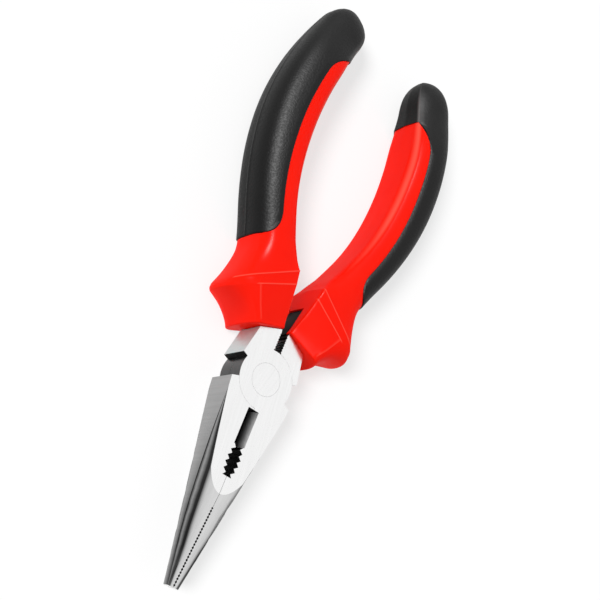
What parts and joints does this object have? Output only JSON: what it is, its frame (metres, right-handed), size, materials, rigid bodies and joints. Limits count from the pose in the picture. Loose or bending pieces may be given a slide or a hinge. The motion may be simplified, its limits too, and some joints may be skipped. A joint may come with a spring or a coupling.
{
  "type": "needle nose pliers",
  "caption": "Long nose pliers with a riveted lap joint, tapered toothed jaws, a side cutter, a pipe grip and bowed two-material grips with thumb guards.",
  "frame": {"origin": "centre of the rivet's rear end, in the ground rear face of the joint", "axes": "+Y from the pivot towards the handles, +Z along the pivot axis out of the front face, +X to the right seen from the front"},
  "size_m": [0.075, 0.2037, 0.0207],
  "materials": {
    "forged_steel": "ground flat on the joint, polished on the jaws' sides and nose",
    "rivet_steel": "swaged and ground flush with the joint",
    "red_plastic": "glossy rigid plastic",
    "black_rubber": "satin soft overmould"
  },
  "bodies": {
    "rear_lever": {"rear_half": "forged_steel", "pivot_rivet": "rivet_steel", "right_grip_sleeve": "red_plastic", "right_grip_overmould": "black_rubber"},
    "front_lever": {"front_half": "forged_steel", "left_grip_sleeve": "red_plastic", "left_grip_overmould": "black_rubber"}
  },
  "joints": [
    {"name": "pivot", "type": "hinge", "parent": "rear_lever", "child": "front_lever", "pos_m": [0, 0, 0.00565], "axis": [0, 0, 1], "range_deg": [0, 40]}
  ]
}
